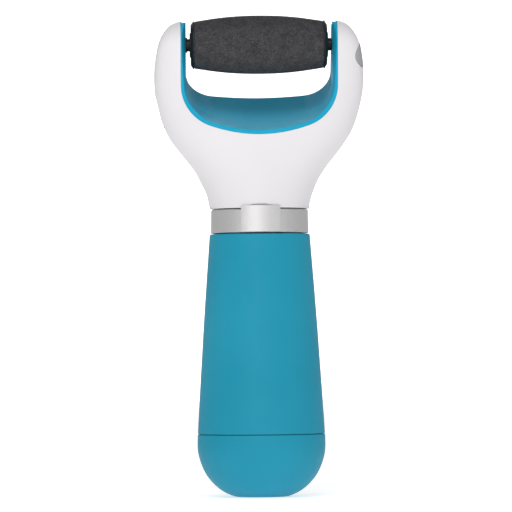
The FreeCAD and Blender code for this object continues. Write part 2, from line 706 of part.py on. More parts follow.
def make_neck_core():
    body = tube_z(84.5, 104.0, NECK_R, NECK_BORE)
    body = body.fuse(tube_z(100.3, 101.85, 15.5, NECK_BORE))
    body = body.fuse(tube_z(86.0, 88.6, 15.55, NECK_BORE))
    for side in (-1, 1):
        body = body.fuse(rod_z(64.5, 86.5, 1.6, side * 13.6, 0))
    body = body.cut(arc_block(11.0, 16.0, 83.0, 127.0, 93.2, 95.8))
    shelf = tube_z(90.6, 91.7, NECK_BORE + 0.2, 11.2)
    return body.fuse(shelf).removeSplitter()


def make_switch_ring():
    outline = [V(RING_BORE, 0, RING_Z0), V(RING_R0 - 0.2, 0, RING_Z0), V(RING_R0, 0, RING_Z0 + 0.2),
               V(RING_R1, 0, RING_Z1 - 0.3), V(RING_R1 - 0.3, 0, RING_Z1), V(RING_BORE, 0, RING_Z1)]
    body = Part.Face(Part.makePolygon(outline + outline[:1])).revolve(V(0, 0, 0), V(0, 0, 1), 360.0)
    start = 270.0 - TAB_HALF_ANGLE
    stop = 270.0 + TAB_HALF_ANGLE
    pad = arc_block(16.2, TAB_R1, start, stop, RING_Z0 + 0.25, RING_Z1)
    lip = arc_block(TAB_R0, TAB_R1, start, stop, RING_Z1 - 0.1, TAB_TOP)
    return body.fuse([pad, lip]).removeSplitter()


def make_switch_arm():
    key = box(-1.4, 1.4, 9.0, RING_BORE + 0.05, 93.6, 95.4)
    return key.common(rod_z(90.0, 99.0, RING_BORE))


def make_switch_wiper():
    strip = box(-1.1, 1.1, 6.5, 11.6, 93.25, 93.6)
    return strip.fuse(box(-1.1, 1.1, 6.5, 7.4, 93.02, 93.3)).removeSplitter()


def make_switch_board():
    return rod_z(91.7, 92.8, 12.4).cut(rod_z(91.0, 94.0, 4.2))


def make_switch_pads():
    pads = [arc_block(6.0, 8.2, a, a + 18.0, 92.8, 93.0) for a in (82.0, 106.0)]
    return Part.makeCompound(pads)


# ---------------------------------------------------------------- handle pieces

def revolved(outer, inner):
    """Body of revolution from an outer run of (z, r) points and an inner run, both top to bottom."""
    top = [V(r, 0, z) for z, r in outer]
    low = [V(r, 0, z) for z, r in inner]
    edges = [spline_edge(top), Part.makeLine(top[-1], low[-1]), spline_edge(low[::-1]), Part.makeLine(low[0], top[0])]
    return Part.Face(Part.Wire(edges)).revolve(V(0, 0, 0), V(0, 0, 1), 360.0)


def make_handle_sleeve():
    outer = [V(r, 0, z) for z, r in HANDLE_PROFILE]
    inner = [V(r - HANDLE_WALL, 0, z) for z, r in HANDLE_PROFILE[::-1]]
    inner[-1] = V(HANDLE_PROFILE[0][1] - HANDLE_WALL, 0, 88.7)
    shoulder = V(outer[0].x - 0.6, 0, 90.2)
    lip_top = V(NECK_R + 0.12, 0, 90.2)
    lip_low = V(NECK_R + 0.12, 0, 88.7)
    edges = [
        spline_edge(outer),
        Part.makeLine(outer[-1], inner[0]),
        spline_edge(inner),
        Part.makeLine(inner[-1], lip_low),
        Part.makeLine(lip_low, lip_top),
        Part.makeLine(lip_top, shoulder),
        Part.Arc(shoulder, V(outer[0].x - 0.17, 0, 90.03), outer[0]).toShape(),
    ]
    return Part.Face(Part.Wire(edges)).revolve(V(0, 0, 0), V(0, 0, 1), 360.0)


def make_battery_cap():
    outer = revolved(CAP_PROFILE, [(z, 0.001) for z in (20.9, 10.0, 0.0)])
    shift = [(z + CAP_WALL * 0.8, max(r - CAP_WALL, 0.5)) for z, r in CAP_PROFILE[1:]]
    hollow_rows = [(30.0, 20.2), (21.5, 20.25)] + shift[1:-1] + [(1.9, 6.0)]
    hollow = revolved(hollow_rows, [(30.0, 0.001), (12.0, 0.001), (1.9, 0.001)])
    body = outer.cut(hollow)
    spigot = revolved([(25.6, 20.1), (20.0, 20.2)], [(25.6, 18.9), (20.0, 19.0)])
    body = body.fuse([spigot, tube_z(19.4, 20.9, 20.9, 19.0)])
    for angle in (45.0, 135.0, 225.0, 315.0):
        a = math.radians(angle)
        post = rod_z(1.0, 8.0, 1.8, 11.0 * math.cos(a), 11.0 * math.sin(a))
        body = body.fuse(post.common(outer))
    return body.removeSplitter()


def make_cap_seal():
    return tube_z(20.95, 21.65, 21.35, 20.2)


def cell_sites():
    h = CELL_PITCH / 2
    return [(-h, -h, True), (h, -h, False), (h, h, True), (-h, h, False)]


def make_battery_cells():
    cells = []
    for x, y, upright in cell_sites():
        z0 = CELL_BOTTOM if upright else CELL_BOTTOM + NUB
        z1 = CELL_TOP - NUB if upright else CELL_TOP
        can = rod_z(z0, z1, CELL_R, x, y)
        cells.append(can.makeChamfer(0.35, [e for e in can.Edges if e.Closed]))
    return Part.makeCompound(cells)


def make_cell_nubs():
    nubs = []
    for x, y, upright in cell_sites():
        z0 = CELL_TOP - NUB if upright else CELL_BOTTOM
        nubs.append(rod_z(z0, z0 + NUB, 2.7, x, y))
    return Part.makeCompound(nubs)


def make_battery_carrier():
    body = rod_z(8.0, 9.4, 16.3)
    body = body.fuse(box(-2.0, 2.0, -2.0, 2.0, 9.0, 60.5))
    for i in range(4):
        rib = arc_block(13.4, 17.0, -11.0, 11.0, 9.2, 57.0)
        rib.rotate(V(0, 0, 0), V(0, 0, 1), 90.0 * i)
        body = body.fuse(rib)
    for x, y, upright in cell_sites():
        body = body.cut(rod_z(10.2, 62.0, CELL_R + 0.12, x, y))
    return body.removeSplitter()


def coil(r, wire, turns, z0, z1, x, y):
    """Helical contact spring standing on z0 and reaching to z1."""
    rise = z1 - z0 - 2 * wire
    helix = Part.makeHelix(rise / turns, rise, r)
    ring = Part.Wire([Part.Circle(V(r, 0, 0), V(0, 1, 0), wire).toShape()])
    body = Part.Wire(helix.Edges).makePipeShell([ring], True, True)
    body.translate(V(x, y, z0 + wire))
    return body


def make_bottom_contacts():
    strips = []
    h = CELL_PITCH / 2
    for side in (-1, 1):
        strips.append(box(side * h - 4.0, side * h + 4.0, -h - 4.0, h + 4.0, 9.4, 9.7))
    bumps = [rod_z(9.6, CELL_BOTTOM - 0.02, 2.2, x, y) for x, y, upright in cell_sites() if not upright]
    return Part.makeCompound([s.fuse(b).removeSplitter() for s, b in zip(strips, (bumps[1], bumps[0]))])


def make_bottom_springs():
    return Part.makeCompound([coil(3.2, 0.2, 1.0, 9.7, CELL_BOTTOM - 0.02, x, y) for x, y, up in cell_sites() if up])


def make_contact_holder():
    body = rod_z(63.0, 64.5, 17.0)
    for side in (-1, 1):
        body = body.fuse(tube_for_leg(side))
    return body.cut(rod_z(60, 66, 3.0)).removeSplitter()


def tube_for_leg(side):
    sleeve = rod_z(64.5, 67.5, 2.5, side * 13.6, 0)
    return sleeve.cut(rod_z(64.5, 68.0, 1.65, side * 13.6, 0))


def make_top_contacts():
    pieces = []
    for x, y, upright in cell_sites():
        base = rod_z(62.75, 63.0, 4.2, x, y)
        if upright:
            base = base.fuse(rod_z(CELL_TOP + 0.02, 62.8, 2.0, x, y)).removeSplitter()
        pieces.append(base)
    return Part.makeCompound(pieces)


def make_top_springs():
    return Part.makeCompound([coil(3.2, 0.2, 1.0, CELL_TOP + 0.02, 62.75, x, y) for x, y, up in cell_sites() if not up])


def make_circuit_board():
    board = box(-11.8, 11.8, 0.9, 2.3, 68.0, 84.0)
    for side in (-1, 1):
        board = board.cut(rod_z(60.0, 90.0, 1.75, side * 13.6, 0))
    return board


def make_board_capacitor():
    can = rod_y(2.3, 9.5, 3.1, -4.5, 77.0)
    return can.makeFillet(0.4, [e for e in can.Edges if e.Closed and e.BoundBox.YMin > 9.0])


def make_board_transistor():
    body = box(2.0, 8.5, 2.3, 4.4, 73.0, 79.0)
    tab = box(2.0, 8.5, 2.3, 2.9, 79.0, 82.0).cut(rod_y(0.0, 5.0, 1.2, 5.25, 80.4))
    return body.fuse(tab).removeSplitter()


def wire_path(points, r):
    path = Part.Wire([spline_edge(points)])
    direction = points[1].sub(points[0])
    circle = Part.Wire([Part.Circle(points[0], direction, r).toShape()])
    return path.makePipeShell([circle], True, True)


def make_motor_lead(m, index):
    y, z = terminal_sites(m)[index]
    x = BELL_BACK + 0.4
    y += -0.78 if index == 0 else 0.78
    start = V(x, y, z)
    shift = -1.6 if index == 0 else 1.6
    points = [start, V(x + 3.2, y * 0.9, z - 2.5), V(x + 3.0, y * 0.6, 112.0), V(1.5, shift, 103.0),
              V(0.4 + shift * 0.3, shift, 94.0), V(shift * 1.2, 0.0, 84.6)]
    return wire_path(points, 0.5)


# ---------------------------------------------------------------- build

def main():
    os.makedirs("parts", exist_ok=True)
    form = head_form()
    cavity = head_cavity()
    liner_space = trough(CHEEK + LINER_WALL, LINER_WALL)
    centres = gear_centres()
    drive, upper, lower, compound, motor = centres
    drive_phase = 90.0
    upper_phase = mesh_phase(drive, DRIVE_TEETH, drive_phase, upper, IDLER_TEETH)
    lower_phase = mesh_phase(upper, IDLER_TEETH, upper_phase, lower, IDLER_TEETH)
    step_phase = mesh_phase(lower, IDLER_TEETH, lower_phase, compound, STEP_TEETH)
    wheel_phase = step_phase
    pinion_phase = mesh_phase(compound, WHEEL_TEETH, wheel_phase, motor, PINION_TEETH)

    foot, ears = make_latch_block()
    liner = make_liner(form, cavity)

    save("front_shell", shell_half(False, form, cavity, liner_space))
    save("rear_shell", shell_half(True, form, cavity, liner_space))
    save("fork_liner", liner)
    save("head_screws", make_head_screws())

    save("gear_plate", make_gear_plate(centres))
    save("gear_pins", make_gear_pins(centres))
    save("gear_plate_screws", make_plate_screws())
    save("drive_gear", make_drive_gear(centres, drive_phase))
    save("upper_idler_gear", make_idler(upper, upper_phase))
    save("lower_idler_gear", make_idler(lower, lower_phase))
    save("compound_gear", make_compound_gear(compound, step_phase, wheel_phase))

    save("motor_can", make_motor_can(motor))
    save("motor_end_bell", make_motor_bell(motor))
    save("motor_terminals", make_motor_terminals(motor))
    save("motor_magnets", make_motor_magnets(motor))
    save("motor_shaft", make_motor_shaft(motor))
    save("motor_pinion", make_motor_pinion(motor, pinion_phase))
    save("motor_armature", make_motor_armature(motor))
    save("motor_windings", make_motor_windings(motor))
    save("motor_commutator", make_commutator(motor))
    save("motor_cradle", make_motor_cradle(motor, cavity, centres))
    save("motor_cradle_screws", make_cradle_screws())
    save("motor_lead_red", make_motor_lead(motor, 0))
    save("motor_lead_black", make_motor_lead(motor, 1))

    save("roller_sleeve", make_roller_sleeve())
    save("roller_core", make_roller_core())
    save("roller_drive_cap", make_drive_cap())
    save("roller_idle_cap", make_idle_cap())
    save("idle_bush", make_idle_bush())

    save("release_button", make_release_button(form))
    save("latch_spring", make_latch_spring())
    save("latch_pivot", make_latch_pivot())
    save("latch_foot", foot)
    save("latch_ears", ears)

    save("neck_core", make_neck_core())
    save("switch_ring", make_switch_ring())
    save("switch_arm", make_switch_arm())
    save("switch_wiper", make_switch_wiper())
    save("switch_board", make_switch_board())
    save("switch_pads", make_switch_pads())

    save("handle_sleeve", make_handle_sleeve())
    save("battery_cap", make_battery_cap())
    save("cap_seal", make_cap_seal())
    save("battery_carrier", make_battery_carrier())
    save("battery_cells", make_battery_cells())
    save("cell_nubs", make_cell_nubs())
    save("bottom_contacts", make_bottom_contacts())
    save("bottom_springs", make_bottom_springs())
    save("contact_holder", make_contact_holder())
    save("top_contacts", make_top_contacts())
    save("top_springs", make_top_springs())
    save("circuit_board", make_circuit_board())
    save("board_capacitor", make_board_capacitor())
    save("board_transistor", make_board_transistor())


main()
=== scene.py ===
import json
import math
import random

import bmesh
import bpy
import mathutils
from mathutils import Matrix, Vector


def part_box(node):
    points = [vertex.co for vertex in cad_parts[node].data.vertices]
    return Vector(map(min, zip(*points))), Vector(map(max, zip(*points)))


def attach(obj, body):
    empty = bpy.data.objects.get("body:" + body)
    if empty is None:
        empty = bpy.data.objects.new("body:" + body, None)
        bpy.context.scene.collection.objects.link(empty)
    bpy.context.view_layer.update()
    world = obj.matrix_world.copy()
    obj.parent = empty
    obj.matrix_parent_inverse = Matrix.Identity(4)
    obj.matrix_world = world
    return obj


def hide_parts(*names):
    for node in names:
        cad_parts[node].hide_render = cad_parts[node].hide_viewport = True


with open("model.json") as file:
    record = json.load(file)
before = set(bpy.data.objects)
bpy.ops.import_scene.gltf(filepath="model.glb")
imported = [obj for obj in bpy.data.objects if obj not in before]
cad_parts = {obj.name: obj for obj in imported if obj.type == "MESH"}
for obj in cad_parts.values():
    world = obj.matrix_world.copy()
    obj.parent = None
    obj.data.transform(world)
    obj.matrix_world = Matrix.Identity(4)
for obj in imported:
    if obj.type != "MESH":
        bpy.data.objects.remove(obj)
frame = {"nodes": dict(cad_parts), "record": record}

V = mathutils.Vector
MM = 0.001
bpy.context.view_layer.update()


# ------------------------------------------------------------------ mesh helpers, in millimetres

def mesh_object(name, verts, faces):
    """Object from points in millimetres, with its faces turned outwards."""
    mesh = bpy.data.meshes.new(name)
    mesh.from_pydata([(x * MM, y * MM, z * MM) for x, y, z in verts], [], faces)
    bm = bmesh.new()
    bm.from_mesh(mesh)
    bmesh.ops.recalc_face_normals(bm, faces=bm.faces)
    bm.to_mesh(mesh)
    bm.free()
    obj = bpy.data.objects.new(name, mesh)
    bpy.context.collection.objects.link(obj)
    return obj


def skin(name, rings, looped=False):
    """Faces between closed rings that all have the same number of points."""
    around = len(rings[0])
    verts = [point for ring in rings for point in ring]
    faces = []
    for ring in range(len(rings) if looped else len(rings) - 1):
        a = ring * around
        b = (ring + 1) % len(rings) * around
        for i in range(around):
            j = (i + 1) % around
            faces.append((a + i, a + j, b + j, b + i))
    return mesh_object(name, verts, faces)


def turned(outline, around, x=0.0, y=0.0):
    """Closed body of revolution on the upright axis through x, y.

    The outline's (radius, height) points start and end on that axis.
    """
    rings = outline[1:-1]
    verts = [(x, y, outline[0][1])]
    for r, z in rings:
        for k in range(around):
            t = 2 * math.pi * k / around
            verts.append((x + r * math.cos(t), y + r * math.sin(t), z))
    verts.append((x, y, outline[-1][1]))
    top = 1 + (len(rings) - 1) * around
    faces = []
    for k in range(around):
        j = (k + 1) % around
        faces.append((0, 1 + j, 1 + k))
        for a in range(1, top, around):
            faces.append((a + k, a + j, a + around + j, a + around + k))
        faces.append((top + k, top + j, len(verts) - 1))
    return verts, faces


def merged(name, bodies):
    """One object from several closed bodies."""
    verts = []
    faces = []
    for body_verts, body_faces in bodies:
        faces.extend(tuple(len(verts) + i for i in face) for face in body_faces)
        verts.extend(body_verts)
    return mesh_object(name, verts, faces)


def smoothed(obj, sharp):
    """Smooth shading, apart from edges that turn by more than the angle, in degrees."""
    obj.data.shade_smooth()
    obj.data.set_sharp_from_angle(angle=math.radians(sharp))
    return obj


def spline(xs, ys):
    """Natural cubic through the points, as a function."""
    count = len(xs)
    gap = [xs[i + 1] - xs[i] for i in range(count - 1)]
    slope = [(ys[i + 1] - ys[i]) / gap[i] for i in range(count - 1)]
    upper = [0.0] * count
    known = [0.0] * count
    for i in range(1, count - 1):
        pivot = 2 * (gap[i - 1] + gap[i]) - gap[i - 1] * upper[i - 1]
        upper[i] = gap[i] / pivot
        known[i] = (6 * (slope[i] - slope[i - 1]) - gap[i - 1] * known[i - 1]) / pivot
    bend = [0.0] * count
    for i in range(count - 2, 0, -1):
        bend[i] = known[i] - upper[i] * bend[i + 1]

    def value(x):
        i = max(j for j in range(count - 1) if xs[j] <= x or j == 0)
        left = xs[i + 1] - x
        gone = x - xs[i]
        curve = (bend[i] * left ** 3 + bend[i + 1] * gone ** 3) / (6 * gap[i])
        start = (ys[i] / gap[i] - bend[i] * gap[i] / 6) * left
        end = (ys[i + 1] / gap[i] - bend[i + 1] * gap[i] / 6) * gone
        return curve + start + end

    return value


def smooth_run(points, steps):
    """Points along a smooth curve through the given ones, evenly spread over its length."""
    reach = [0.0]
    for a, b in zip(points[:-1], points[1:]):
        reach.append(reach[-1] + math.dist(a, b))
    across = spline(reach, [p[0] for p in points])
    up = spline(reach, [p[1] for p in points])
    return [(across(reach[-1] * i / steps), up(reach[-1] * i / steps)) for i in range(steps + 1)]


# ------------------------------------------------------------------ abrasive barrel

END_SHARE = 0.8          # the barrel's radius at its ends, as a share of the middle's
SHOULDER_SHARE = 0.942   # and at the shoulders
SHOULDER_AT = 0.55       # where the shoulders are, as a share of the half length
BORE_R = 6.12            # just clear of the core inside the barrel
EDGE_ROUNDING = 0.10     # how far the surface drops at each end
EDGE_WIDTH = 0.4         # and over what length
GRAIN_HEIGHT = 0.07      # clumps of grains
GRAIN_ALONG = 3.1        # clump noise per millimetre of length
GRAIN_AROUND = 30.0      # radius of the circle that the clump noise is read on
DUST_HEIGHT = 0.035      # single grains
DUST_SEED = 7
BARREL_AROUND = 420
BARREL_ALONG = 300
BARREL_SHARP = 50.0


def grit_barrel():
    """The abrasive barrel with its bonded grains standing up from the surface."""
    low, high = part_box("roller_sleeve")
    half = (high[0] - low[0]) / 2 / MM
    middle = (high[2] - low[2]) / 2 / MM
    axis_y = (high[1] + low[1]) / 2 / MM
    axis_z = (high[2] + low[2]) / 2 / MM
    shoulder = half * SHOULDER_AT
    shares = (END_SHARE, SHOULDER_SHARE, 1.0, SHOULDER_SHARE, END_SHARE)
    radius = spline([-half, -shoulder, 0.0, shoulder, half], [middle * share for share in shares])
    turns = [2 * math.pi * k / BARREL_AROUND for k in range(BARREL_AROUND)]
    rng = random.Random(DUST_SEED)
    rings = []
    for i in range(BARREL_ALONG + 1):
        x = -half + 2 * half * i / BARREL_ALONG
        edge = min(1.0, (half - abs(x)) / EDGE_WIDTH)
        ring = []
        for t in turns:
            spot = V((x * GRAIN_ALONG, math.cos(t) * GRAIN_AROUND, math.sin(t) * GRAIN_AROUND))
            rise = GRAIN_HEIGHT * mathutils.noise.noise(spot) + DUST_HEIGHT * (rng.random() - 0.5)
            r = radius(x) - EDGE_ROUNDING * (1 - edge) - GRAIN_HEIGHT / 2 + rise * edge
            ring.append((x, axis_y + r * math.cos(t), axis_z + r * math.sin(t)))
        rings.append(ring)
    for x in (half, -half):
        rings.append([(x, axis_y + BORE_R * math.cos(t), axis_z + BORE_R * math.sin(t)) for t in turns])
    return smoothed(skin("grit_barrel", rings, looped=True), BARREL_SHARP)


# ------------------------------------------------------------------ battery cap

# Half section as (radius, height) points in millimetres: up the inside, round the spigot and the
# lip, then down the outside to the flat that the object stands on.
CAP_INSIDE = [(6.0, 1.9), (10.6, 3.1), (14.2, 5.3), (17.0, 8.2), (18.6, 11.0), (19.6, 13.8),
              (20.1, 16.6), (20.1, 19.4)]
CAP_SPIGOT = [(19.0, 19.4), (18.9, 25.5), (19.0, 25.6), (20.0, 25.6), (20.1, 25.5), (20.2, 20.9)]
CAP_LIP = [(21.42, 20.9), (21.42, 21.36), (21.5, 21.45), (21.72, 21.45), (21.86, 21.36)]
CAP_SIDE = [(21.9, 21.2), (22.0, 18.0), (21.8, 15.2), (21.15, 12.5), (20.1, 9.7), (18.6, 7.0),
            (16.5, 4.5), (14.3, 2.6), (12.0, 1.2), (10.2, 0.45)]
CAP_SOLE = [(9.3, 0.16), (8.7, 0.04), (8.1, 0.0)]
CAP_POST = [(0.0, 1.9), (1.8, 1.9), (1.8, 8.0), (0.0, 8.0)]
CAP_POSTS = 4
CAP_POST_AT = 11.0       # distance of the posts from the axis
CAP_POST_AROUND = 32
CAP_AROUND = 256
CAP_STEPS = 48           # over the outside
CAP_SHARP = 32.0


def cap_shell():
    """Battery cap with its spigot, posts and a thin lip round the seal, rounded off above its flat."""
    outline = [(0.0, CAP_INSIDE[0][1])] + CAP_INSIDE + CAP_SPIGOT + CAP_LIP
    outline += smooth_run(CAP_SIDE + CAP_SOLE, CAP_STEPS) + [(0.0, 0.0)]
    bodies = [turned(outline, CAP_AROUND)]
    for post in range(CAP_POSTS):
        t = math.pi * (0.25 + 2 * post / CAP_POSTS)
        x = CAP_POST_AT * math.cos(t)
        y = CAP_POST_AT * math.sin(t)
        bodies.append(turned(CAP_POST, CAP_POST_AROUND, x, y))
    return smoothed(merged("cap_shell", bodies), CAP_SHARP)


# ------------------------------------------------------------------ material helpers

def material(name):
    """New material with its nodes, its links and its shader."""
    mat = bpy.data.materials.new(name)
    mat.use_nodes = True
    nodes = mat.node_tree.nodes
    return mat, nodes, mat.node_tree.links, nodes["Principled BSDF"]


def noise(nodes, links, scale, detail, rough, stretch=None):
    """Noise over the object, drawn out where a stretch is given."""
    coord = nodes.new("ShaderNodeTexCoord")
    tex = nodes.new("ShaderNodeTexNoise")
    tex.inputs["Scale"].default_value = scale
    tex.inputs["Detail"].default_value = detail
    tex.inputs["Roughness"].default_value = rough
    if stretch:
        mapping = nodes.new("ShaderNodeMapping")
        mapping.inputs["Scale"].default_value = stretch
        links.new(coord.outputs["Object"], mapping.inputs["Vector"])
        links.new(mapping.outputs["Vector"], tex.inputs["Vector"])
    else:
        links.new(coord.outputs["Object"], tex.inputs["Vector"])
    return tex


def ramp(nodes, links, source, low, high, start=0.3, stop=0.7):
    """Number that goes from low to high as the source goes from start to stop."""
    node = nodes.new("ShaderNodeMapRange")
    node.inputs["From Min"].default_value = start
    node.inputs["From Max"].default_value = stop
    node.inputs["To Min"].default_value = low
    node.inputs["To Max"].default_value = high
    links.new(source, node.inputs["Value"])
    return node.outputs["Result"]


def tint(nodes, links, source, dark, light, start=0.3, stop=0.7):
    """Colour that goes from dark to light as the source goes from start to stop."""
    node = nodes.new("ShaderNodeValToRGB")
    node.color_ramp.elements[0].position = start
    node.color_ramp.elements[0].color = dark + (1.0,)
    node.color_ramp.elements[1].position = stop
    node.color_ramp.elements[1].color = light + (1.0,)
    links.new(source, node.inputs["Fac"])
    return node.outputs["Color"]


def relief(nodes, links, source, shader, strength, distance, rounding=0.0):
    """Surface grain, the distance in metres, over edges rounded off, the radius in millimetres."""
    node = nodes.new("ShaderNodeBump")
    node.inputs["Strength"].default_value = strength
    node.inputs["Distance"].default_value = distance
    links.new(source, node.inputs["Height"])
    if rounding:
        edge = nodes.new("ShaderNodeBevel")
        edge.samples = 4
        edge.inputs["Radius"].default_value = rounding * MM
        links.new(edge.outputs["Normal"], node.inputs["Normal"])
    links.new(node.outputs["Normal"], shader.inputs["Normal"])


# ------------------------------------------------------------------ kinds of material

WEAR_FINENESS = 9        # the uneven gloss is this much finer than the colour drift


def plastic(name, dark, light, rough, spread, specular=0.4, grain=2600.0, depth=0.000012,
            cloud=60.0, rounding=0.15):
    """Moulded plastic: faint colour drift, uneven gloss, and a fine moulded grain."""
    mat, nodes, links, shader = material(name)
    drift = noise(nodes, links, cloud, detail=2.0, rough=0.4)
    links.new(tint(nodes, links, drift.outputs["Fac"], dark, light), shader.inputs["Base Color"])
    wear = noise(nodes, links, cloud * WEAR_FINENESS, detail=5.0, rough=0.65)
    gloss = ramp(nodes, links, wear.outputs["Fac"], rough - spread, rough + spread)
    links.new(gloss, shader.inputs["Roughness"])
    fine = noise(nodes, links, grain, detail=2.0, rough=0.5)
    relief(nodes, links, fine.outputs["Fac"], shader, strength=0.25, distance=depth, rounding=rounding)
    shader.inputs["Specular IOR Level"].default_value = specular
    return mat


def metal(name, dark, light, rough, spread, stretch, scale=900.0, depth=0.000008, rounding=0.1):
    """Metal with a fine grain drawn out along one direction."""
    mat, nodes, links, shader = material(name)
    grain = noise(nodes, links, scale, detail=6.0, rough=0.7, stretch=stretch)
    links.new(tint(nodes, links, grain.outputs["Fac"], dark, light), shader.inputs["Base Color"])
    gloss = ramp(nodes, links, grain.outputs["Fac"], rough - spread, rough + spread)
    links.new(gloss, shader.inputs["Roughness"])
    shader.inputs["Metallic"].default_value = 1.0
    relief(nodes, links, grain.outputs["Fac"], shader, strength=0.3, distance=depth, rounding=rounding)
    return mat


CRYSTAL_SCALE = 2300.0
PATCH_SCALE = 380.0
GRIT_DARK = (0.034, 0.034, 0.037)
GRIT_PALE = (0.098, 0.095, 0.104)
CRYSTAL_CENTRE = (1.0, 1.0, 1.0)   # multiplied onto the grit's colour, as is the next
CRYSTAL_EDGE = (0.4, 0.4, 0.41)
CRYSTAL_SHADE = 0.8                # how strongly


def abrasive():
    """Bonded mineral grit: dark crystals of uneven size, with a few paler facets."""
    mat, nodes, links, shader = material("abrasive_grit")
    coord = nodes.new("ShaderNodeTexCoord")
    cells = nodes.new("ShaderNodeTexVoronoi")
    cells.inputs["Scale"].default_value = CRYSTAL_SCALE
    links.new(coord.outputs["Object"], cells.inputs["Vector"])
    patch = noise(nodes, links, PATCH_SCALE, detail=6.0, rough=0.8)
    mix = nodes.new("ShaderNodeMix")
    mix.data_type = "RGBA"
    mix.blend_type = "MULTIPLY"
    mix.inputs["Factor"].default_value = CRYSTAL_SHADE
    patches = tint(nodes, links, patch.outputs["Fac"], GRIT_DARK, GRIT_PALE, stop=0.72)
    links.new(patches, mix.inputs["A"])
    facets = tint(nodes, links, cells.outputs["Distance"], CRYSTAL_CENTRE, CRYSTAL_EDGE,
                  start=0.05, stop=0.6)
    links.new(facets, mix.inputs["B"])
    links.new(mix.outputs["Result"], shader.inputs["Base Color"])
    gloss = ramp(nodes, links, cells.outputs["Color"], low=0.5, high=0.95, start=0.1, stop=0.5)
    links.new(gloss, shader.inputs["Roughness"])
    relief(nodes, links, cells.outputs["Distance"], shader, strength=0.8, distance=0.00012)
    shader.inputs["Specular IOR Level"].default_value = 0.35
    return mat


# Painted shade for the grooves between wire turns, and painted highlight for their crests.
COPPER_GROOVE_SHADE = (0.30, 0.10, 0.04)
COPPER_CREST_HIGHLIGHT = (0.78, 0.36, 0.18)


def wound_copper():
    """Enamelled copper wire in close turns, with painted shade between the turns and painted highlights
    on their crests.
    """
    mat, nodes, links, shader = material("copper_wire")
    coord = nodes.new("ShaderNodeTexCoord")
    wave = nodes.new("ShaderNodeTexWave")
    wave.inputs["Scale"].default_value = 900.0
    wave.inputs["Distortion"].default_value = 1.5
    links.new(coord.outputs["Object"], wave.inputs["Vector"])
    # The colour bands follow the relief waves: painted shade in the grooves, painted highlight on the
    # crests.
    turns = tint(nodes, links, wave.outputs["Fac"], COPPER_GROOVE_SHADE, COPPER_CREST_HIGHLIGHT)
    links.new(turns, shader.inputs["Base Color"])
    shader.inputs["Metallic"].default_value = 0.9
    shader.inputs["Roughness"].default_value = 0.35
    relief(nodes, links, wave.outputs["Fac"], shader, strength=0.6, distance=0.0001)
    return mat


# ------------------------------------------------------------------ materials, by the record's slots

MATERIALS = {
    "white_shell": plastic(
        "white_gloss_plastic", (0.725, 0.708, 0.725), (0.755, 0.736, 0.755), rough=0.40, spread=0.03,
        specular=0.30, grain=1500.0, depth=0.000006, cloud=14.0, rounding=0.25),
    "teal_liner": plastic(
        "teal_gloss_plastic", (0.010, 0.315, 0.490), (0.018, 0.355, 0.545), rough=0.42, spread=0.05,
        specular=0.03, grain=1500.0, depth=0.000006, cloud=40.0, rounding=0.2),
    "teal_handle": plastic(
        "teal_soft_touch", (0.011, 0.264, 0.388), (0.017, 0.292, 0.425), rough=0.55, spread=0.06,
        specular=0.16, grain=3400.0, depth=0.00002, cloud=34.0, rounding=0.2),
    "satin_metal": metal(
        "satin_ring_metal", (0.56, 0.550, 0.554), (0.72, 0.71, 0.713), rough=0.49, spread=0.05,
        stretch=(1.0, 1.0, 14.0)),
    "abrasive": abrasive(),
    "black_plastic": plastic(
        "black_plastic", (0.006, 0.006, 0.008), (0.012, 0.012, 0.015), rough=0.40, spread=0.08,
        specular=0.25),
    "grey_plastic": plastic(
        "grey_button_plastic", (0.33, 0.33, 0.345), (0.39, 0.39, 0.405), rough=0.42, spread=0.06,
        specular=0.3),
    "gear_plastic": plastic(
        "natural_acetal", (0.62, 0.60, 0.54), (0.74, 0.72, 0.66), rough=0.40, spread=0.08),
    "steel": metal(
        "turned_steel", (0.32, 0.32, 0.33), (0.55, 0.55, 0.56), rough=0.30, spread=0.08,
        stretch=(6.0, 1.0, 1.0)),
    "spring_steel": metal(
        "spring_steel", (0.38, 0.38, 0.40), (0.62, 0.62, 0.64), rough=0.24, spread=0.06,
        stretch=(1.0, 1.0, 5.0)),
    "brass": metal(
        "turned_brass", (0.50, 0.34, 0.11), (0.78, 0.58, 0.26), rough=0.28, spread=0.08,
        stretch=(5.0, 1.0, 1.0)),
    "copper": wound_copper(),
    "magnet": plastic(
        "pressed_ferrite", (0.025, 0.025, 0.028), (0.06, 0.06, 0.065), rough=0.62, spread=0.10),
    "seal_rubber": plastic(
        "seal_rubber", (0.004, 0.170, 0.250), (0.008, 0.200, 0.290), rough=0.60, spread=0.10,
        specular=0.2),
    "cell_jacket": plastic(
        "cell_jacket", (0.03, 0.035, 0.045), (0.07, 0.075, 0.09), rough=0.22, spread=0.06),
    "nickel": metal(
        "nickel_plate", (0.50, 0.49, 0.46), (0.72, 0.71, 0.68), rough=0.22, spread=0.06,
        stretch=(1.0, 1.0, 4.0)),
    "green_board": plastic(
        "board_resist", (0.012, 0.09, 0.035), (0.02, 0.13, 0.05), rough=0.34, spread=0.08),
    "red_wire": plastic(
        "red_insulation", (0.36, 0.012, 0.012), (0.48, 0.02, 0.02), rough=0.42, spread=0.08),
    "black_wire": plastic(
        "black_insulation", (0.008, 0.008, 0.008), (0.02, 0.02, 0.02), rough=0.42, spread=0.08),
}


# ------------------------------------------------------------------ pieces onto the frame

def dress(obj, slot_name, body, *nodes):
    """Gives a new piece its finish and its body, in place of the CAD nodes."""
    obj.data.materials.clear()
    obj.data.materials.append(MATERIALS[slot_name])
    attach(obj, body)
    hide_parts(*nodes)


slot_of = {s["node"]: s["material_slot"] for s in frame["record"]["subparts"]}
for node, obj in frame["nodes"].items():
    for part in obj.material_slots:
        part.material = MATERIALS[slot_of[node]]

dress(grit_barrel(), "abrasive", "roller_cartridge", "roller_sleeve")
dress(cap_shell(), "teal_handle", "battery_drawer", "battery_cap")

# ------------------------------------------------------------------ studio

